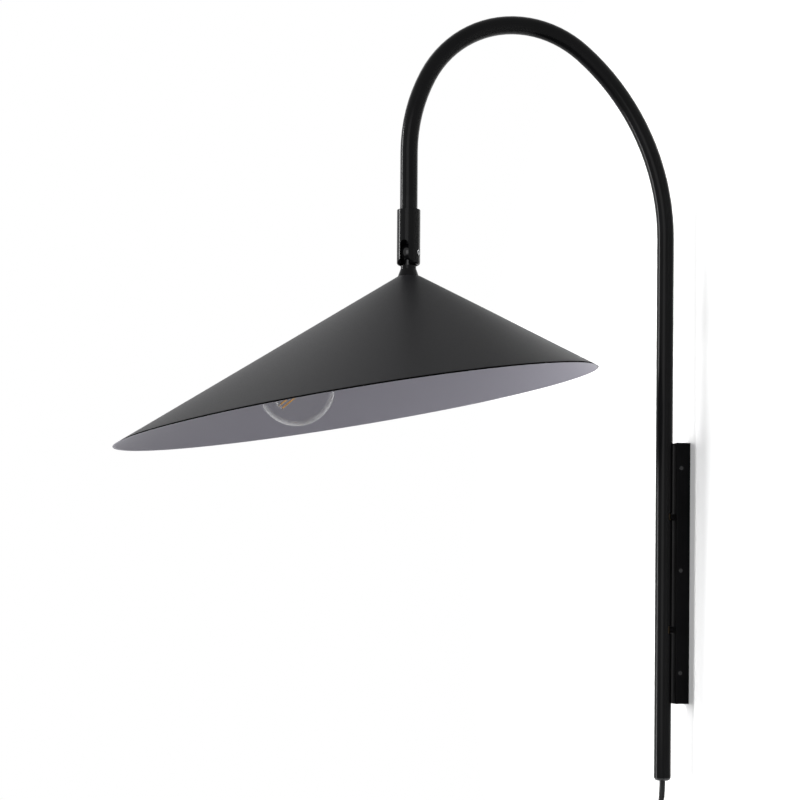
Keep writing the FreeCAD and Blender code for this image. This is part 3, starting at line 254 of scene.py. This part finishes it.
# The lead's jacket is smooth black PVC with a soft gloss, a little wavy along its length from the laid cores.
# The leads inside the arm and the head have the same jacket, and so has the bundle inside the knuckle.
JACKET_DARK = (0.008, 0.008, 0.009)
JACKET_LIGHT = (0.014, 0.014, 0.015)
JACKET_WAVE = 0.012
JACKET_WAVE_DEPTH = 0.0002
jacket = Finish("cord_jacket", Specular_IOR_Level=0.15)
wave = jacket.noise(JACKET_WAVE, detail=2.0)
jacket.set(Base_Color=jacket.cloudy(wave, JACKET_DARK, JACKET_LIGHT))
jacket.set(Roughness=jacket.uneven(wave, low=0.1, high=0.2))
jacket.bump(wave * JACKET_WAVE_DEPTH)
jacket.on(lead_to_switch, lead_to_plug, "arm_lead", "head_lead", "knuckle_cores")
for lead in (lead_to_switch, lead_to_plug):
    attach(lead, "wall_unit")
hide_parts("supply_cord")
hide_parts("switch_cord", "cord_coil", "plug_cord")


# The wall is a plain white surface behind the rail, and the floor is plain white too. Both keep the lamp's
# shadow near the lamp and are pure white further off. From behind the wall and from under the floor they
# aren't there, so that the lamp can be looked at from those sides too.
WALL_BACK = 0.0004
FLOOR_Z = -1.15
ROOM = 9.0
ROOM_END = ROOM * 4
PAINT_WHITE = (0.85, 0.85, 0.85)
PURE_WHITE = (1, 1, 1)
THROWN_BACK = (0.1, 0.1, 0.1)
ON_THE_FLOOR = (1.0, 1.0, 0.0)


def flat_sheet(name, corners):
    mesh = bpy.data.meshes.new(name)
    mesh.from_pydata(corners, [], [(0, 1, 2, 3)])
    sheet = bpy.data.objects.new(name, mesh)
    bpy.context.scene.collection.objects.link(sheet)
    return sheet


def room_surface(name, near, far, kept_white, reach=(1.0, 1.0, 1.0)):
    """White paint that keeps shadows up to near metres from the origin and is plain white past far. The light
    that it throws back on the lamp is dull, so that the lamp's far side stays dark."""
    paint = Finish(name, Base_Color=PAINT_WHITE, Roughness=0.9, Specular_IOR_Level=0.0)
    away = paint.node("ShaderNodeVectorMath", {0: paint.place(reach)}, out="Value", operation="LENGTH")
    share = paint.between(away, near, far, kept_white, 1.0)
    seen = paint.seen()
    painted = paint.surface
    paint.surface = paint.node("ShaderNodeBsdfDiffuse", {"Color": THROWN_BACK})
    paint.mix(seen, painted)
    paint.mix(seen * share, paint.node("ShaderNodeEmission", {"Color": PURE_WHITE, "Strength": 1.0}))
    paint.mix(paint.node("ShaderNodeNewGeometry", out="Backfacing"), paint.node("ShaderNodeBsdfTransparent"))
    return paint


wall = flat_sheet("room_wall", [(WALL_BACK, -ROOM, FLOOR_Z), (WALL_BACK, -ROOM, ROOM),
                                (WALL_BACK, ROOM_END, ROOM), (WALL_BACK, ROOM_END, FLOOR_Z)])
floor = flat_sheet("room_floor", [(-ROOM, -ROOM, FLOOR_Z), (ROOM, -ROOM, FLOOR_Z),
                                  (ROOM, ROOM_END, FLOOR_Z), (-ROOM, ROOM_END, FLOOR_Z)])
room_surface("wall_paint", near=0.45, far=0.8, kept_white=0.1).on(wall)
room_surface("floor_paint", near=0.9, far=2.5, kept_white=0.35, reach=ON_THE_FLOOR).on(floor)

# The room's own light is even and dim. To the camera, in what shines and through the glass the room is white.
# Five soft boxes light the lamp: a large one from the far left and one from below make its light and shadow.
ROOM_LEVEL = 0.1
world = bpy.data.worlds.new("room_light")
world.use_nodes = True
bpy.context.scene.world = world
sky = NodeTree(world.node_tree)
sky_light = sky.tree.nodes["Background"].inputs
sky.feed(sky_light["Strength"], sky.between(sky.seen(), 0.0, 1.0, ROOM_LEVEL, 1.0))
sky.feed(sky_light["Color"], PURE_WHITE)


def soft_box(name, place, aim, width, height, watts, mirrored=True):
    """A rectangular studio lamp at place that points at aim. Shiny coats show it only where mirrored is set."""
    lamp = bpy.data.lights.new(name, "AREA")
    lamp.shape = "RECTANGLE"
    lamp.size = width
    lamp.size_y = height
    lamp.energy = watts
    box = bpy.data.objects.new(name, lamp)
    box.location = place
    box.rotation_mode = "QUATERNION"
    box.rotation_quaternion = (Vector(aim) - Vector(place)).to_track_quat("-Z", "Y")
    box.visible_glossy = mirrored
    bpy.context.scene.collection.objects.link(box)


LAMP_MIDDLE = (-0.2, 0.0, 0.2)
RAIL_MIDDLE = (-0.03, 0.0, 0.1)
SHADE_MIDDLE = (-0.35, 0.0, 0.2)
soft_box("key_far_left", place=(-1.4, 2.7, 0.3), aim=RAIL_MIDDLE, width=1.4, height=2.4, watts=195.0,
         mirrored=False)
soft_box("under_shade", place=(-0.9, -2.3, -0.9), aim=SHADE_MIDDLE, width=1.6, height=0.9, watts=34.0,
         mirrored=False)
soft_box("shade_top", place=(-0.9, 1.9, 2.2), aim=LAMP_MIDDLE, width=1.5, height=1.2, watts=5.5)
soft_box("strip_left", place=(-2.5, 1.2, 0.3), aim=LAMP_MIDDLE, width=0.4, height=2.6, watts=85.0)
soft_box("front_left", place=(-1.45, -1.75, 0.5), aim=LAMP_MIDDLE, width=1.2, height=1.8, watts=15.0)


# The rail is a folded steel channel, powder coated satin black, that is pushed over a zinc-plated bracket. Three
# small black screws hold it in each side. The same kind of coat is on all the black metal of the lamp.
COAT_BLACK = (0.005, 0.005, 0.0055)
SCREW_GREY_PAINTED_GLINT = (0.03, 0.03, 0.031)
COAT_GRAIN = 0.0011
COAT_CLOUD = 0.05


def toned(colour, share):
    return tuple(part * share for part in colour)


def powder_coat(name, colour, roughness, peel, **shader):
    """Powder coat: a fine grain, peel metres deep, and a faint cloud in its colour and roughness."""
    coat = Finish(name, **shader)
    grain = coat.noise(COAT_GRAIN, detail=2.0)
    cloud = coat.noise(COAT_CLOUD, detail=2.0)
    coat.set(Base_Color=coat.cloudy(cloud, toned(colour, 0.85), toned(colour, 1.15), spread=0.15))
    coat.set(Roughness=coat.uneven(cloud, roughness - 0.02, roughness + 0.02))
    coat.bump(grain, peel)
    return coat


rail_coat = powder_coat("rail_coat", COAT_BLACK, roughness=0.3, peel=0.000003, Specular_IOR_Level=0.02)
rail_coat.on("rail_cover")
# The screws' coat is lighter than the rail's black: a painted highlight for the small glints on their heads.
screw_coat = powder_coat("screw_coat", SCREW_GREY_PAINTED_GLINT, roughness=0.2, peel=0.000003, Specular_IOR_Level=0.2)
screw_coat.on("cover_screws")


def plated(name, dark, light, grain, low, high):
    """Plated or bare metal: a cloudy colour, a roughness from low to high, and fine marks."""
    metal = Finish(name, Metallic=1.0)
    cloud = metal.noise(grain, detail=4.0)
    metal.set(Base_Color=metal.cloudy(cloud, dark, light))
    metal.set(Roughness=metal.uneven(cloud, low, high))
    metal.bump(metal.noise(grain / 5) * 0.00001)
    return metal


zinc = plated("zinc_plate", dark=(0.42, 0.43, 0.45), light=(0.6, 0.6, 0.6), grain=0.004, low=0.28, high=0.42)
zinc.on("wall_bracket")

# Two steel blocks behind the rail's front hold a bolt each. The bolt runs through a spacer, which has the rail's
# black coat, into an oiled bronze bush inside the post, and the post turns on the two bushes.
zinc.on("bearing_blocks", "bearing_bolts")
rail_coat.on("bearing_spacers")
oiled_bronze = plated("oiled_bronze", dark=(0.05, 0.04, 0.024), light=(0.09, 0.066, 0.038), grain=0.003,
                      low=0.35, high=0.5)
oiled_bronze.on("bearing_bushes")

# The arm is one bent steel tube, 18 mm thick, powder coated satin black, with a rubber-like plastic grommet
# pushed into its foot where the lead comes out.
tube_coat = powder_coat("tube_coat", COAT_BLACK, roughness=0.18, peel=0.000002, Specular_IOR_Level=0.07)
tube_coat.on("arm_tube")
PLASTIC_BLACK = (0.013, 0.013, 0.014)
PLASTIC_GRAIN = 0.0007
PLASTIC_GRAIN_DEPTH = 0.00004
PLASTIC_CLOUD = 0.02


def moulded(name, roughness):
    """Black moulded plastic with a fine matt texture."""
    plastic = Finish(name)
    grain = plastic.noise(PLASTIC_GRAIN)
    cloud = plastic.noise(PLASTIC_CLOUD)
    plastic.set(Base_Color=plastic.cloudy(cloud, toned(PLASTIC_BLACK, 0.8), toned(PLASTIC_BLACK, 1.2)))
    plastic.set(Roughness=plastic.uneven(grain, roughness - 0.06, roughness + 0.06))
    plastic.bump(grain * PLASTIC_GRAIN_DEPTH)
    return plastic


moulded("grommet_plastic", roughness=0.2).on("cord_grommet")

# Under the tube's end sits a short collar of the same thickness with a hollow spindle. The slotted knuckle turns
# on it, held by a washer and a nut. The ball of the shade's stem tilts between two screws in the knuckle.
collar_coat = powder_coat("collar_coat", COAT_BLACK, roughness=0.17, peel=0.000002, Specular_IOR_Level=0.08)
collar_coat.on("swivel_collar", "knuckle_barrel", "shade_collar")
ball_coat = powder_coat("ball_coat", COAT_BLACK, roughness=0.1, peel=0.000001, Specular_IOR_Level=0.3)
ball_coat.on("pivot_ball")
zinc.on("friction_washer", "spindle_nut", "pivot_screws")

# The shade is spun from one sheet of steel into a wide leaning cone, cut at a slant and powder coated dark satin
# grey-black.
# Its inside is painted a paler lavender grey, which is painted light for the light falling into it from below,
# and a thin black band along the rim is painted shade for the rim's shaded cut edge. The rim lies in a leaning
# plane.
SHADE_OUTSIDE = (0.027, 0.027, 0.029)
INSIDE_PAINTED_LIGHT = (0.38, 0.37, 0.425)
RIM_SHADE_BLACK = (0.002, 0.002, 0.002)
RIM_NORMAL = (0.17635, 0.0, -0.984327)
RIM_DEPTH = -0.224857
RIM_SHADE_BAND = 0.0019
SHADE_GRAIN_DEPTH = 0.000012
shade_coat = Finish("shade_coat", Specular_IOR_Level=0.03)
facing = shade_coat.node("ShaderNodeTexCoord", out="Normal")
up = shade_coat.node("ShaderNodeSeparateXYZ", {0: facing}, out="Z")
# Faces that look down, inside the shade, get the paler grey as painted light; faces that look up keep the dark
# coat.
shade_coat.set(Base_Color=shade_coat.node("ShaderNodeValToRGB", {"Fac": up * 0.5 + 0.5}, out="Color",
                                          stops=((0.4, INSIDE_PAINTED_LIGHT), (0.45, SHADE_OUTSIDE))))
down_to_rim = shade_coat.node("ShaderNodeVectorMath", {0: shade_coat.place(), 1: RIM_NORMAL}, out="Value",
                              operation="DOT_PRODUCT")
# A thin band along the rim, except on the inside faces, is painted black: painted shade for the rim's cut edge.
painted_rim_shade = (down_to_rim > RIM_DEPTH - RIM_SHADE_BAND) * (up > -0.5)
shade_coat.mix(painted_rim_shade, shade_coat.node("ShaderNodeBsdfDiffuse", {"Color": RIM_SHADE_BLACK}))
shade_grain = shade_coat.noise(COAT_GRAIN, detail=2.0)
shade_coat.set(Roughness=shade_coat.uneven(shade_grain, low=0.4, high=0.46))
shade_coat.bump(shade_grain * SHADE_GRAIN_DEPTH)
shade_coat.on("shade")
zinc.on("shade_washer", "lock_nut")

# The lamp holder is a black moulded shell with a brass thread, on a bent steel strap that aims it at the room.
# A brass nipple and nut hold the shell on the strap.
moulded("holder_plastic", roughness=0.36).on("lamp_holder_body")
zinc.on("holder_bracket")
brass = plated("turned_brass", dark=(0.62, 0.42, 0.16), light=(0.75, 0.55, 0.26), grain=0.003, low=0.25,
               high=0.4)
brass.on("holder_nipple", "holder_nut", "holder_contact", "holder_thread_shell")

# The bulb is a clear glass globe, 80 mm wide, with a nickel-plated screw cap. Inside, a glass stem carries six
# upright sticks coated with amber phosphor.
nickel = plated("nickel_plate", dark=(0.62, 0.6, 0.56), light=(0.74, 0.72, 0.69), grain=0.003, low=0.16,
                high=0.26)
nickel.on("bulb_cap")
moulded("insulator_plastic", roughness=0.2).on("bulb_insulator")
THROUGH_GLASS = (0.97, 0.97, 0.97)
OUTLINE_BLEND = 0.35
OUTLINE_FROM = 0.35


def clear_glass(name, grain, dark, light, spread, middle, edge, **shader):
    """Thin glass that lets the view through. A grey lies over it, as solid as middle face on and as edge at its
    outline: painted reflection.
    """
    glass = Finish(name, **shader)
    glass.set(Base_Color=glass.cloudy(glass.noise(grain), dark, light, spread))
    slant = glass.node("ShaderNodeLayerWeight", {"Blend": OUTLINE_BLEND}, out="Facing")
    painted_grey_reflection = glass.surface
    glass.surface = glass.node("ShaderNodeBsdfTransparent", {"Color": THROUGH_GLASS})
    glass.mix(glass.between(slant, OUTLINE_FROM, 1.0, middle, edge), painted_grey_reflection)
    return glass


# The grey on the globe and the stem is painted reflection, strongest at their outlines.
clear_glass("bulb_glass", grain=0.03, dark=(0.55, 0.55, 0.57), light=(0.6, 0.6, 0.62), spread=0.2, middle=0.03,
            edge=0.75, Roughness=0.02, Specular_IOR_Level=0.5).on("bulb_globe")
clear_glass("stem_glass", grain=0.004, dark=(0.1, 0.1, 0.1), light=(0.4, 0.4, 0.4), spread=0.15, middle=0.3,
            edge=0.9, Roughness=0.05, Specular_IOR_Level=1.0).on("bulb_stem")
AMBER_DARK = (0.75, 0.36, 0.07)
AMBER_LIGHT = (0.95, 0.52, 0.14)
amber = Finish("filament_amber", Roughness=0.5)
amber.set(Base_Color=amber.cloudy(amber.noise(0.002), AMBER_DARK, AMBER_LIGHT))
amber.on("bulb_filaments")

# The in-line switch is two moulded shells screwed together round a glossy rocker on a steel pin.
# The rocker presses on brass contacts inside.
moulded("switch_plastic", roughness=0.4).on("switch_front_shell", "switch_back_shell")
moulded("rocker_plastic", roughness=0.22).on("switch_rocker")
zinc.on("switch_screws", "rocker_pin")
brass.on("switch_contacts")

# A short woven strap is wrapped round the coil's turns and closed on itself.
# Its weave is two sets of threads, one along and one at a slant.
STRAP_DARK = (0.009, 0.009, 0.01)
STRAP_LIGHT = (0.022, 0.022, 0.024)
THREADS_PER_METRE = 380.0
THREAD_DEPTH = 0.0002
strap = Finish("woven_strap", Roughness=0.85)


def threads(direction):
    return strap.node("ShaderNodeTexWave", {"Vector": strap.place(), "Scale": THREADS_PER_METRE}, out="Fac",
                      wave_type="BANDS", bands_direction=direction)


weave = threads("Y") * 0.5 + threads("DIAGONAL") * 0.5
strap.set(Base_Color=strap.cloudy(weave, STRAP_DARK, STRAP_LIGHT))
strap.bump(weave * THREAD_DEPTH)
strap.on("cord_tie")

# The plug is moulded onto the lead with a slit strain relief, and has two round nickel-plated pins.
# It hangs below the coil on the lead's last few centimetres.
moulded("plug_plastic", roughness=0.42).on("plug_strain_relief", "plug_body")
nickel.on("plug_pins")
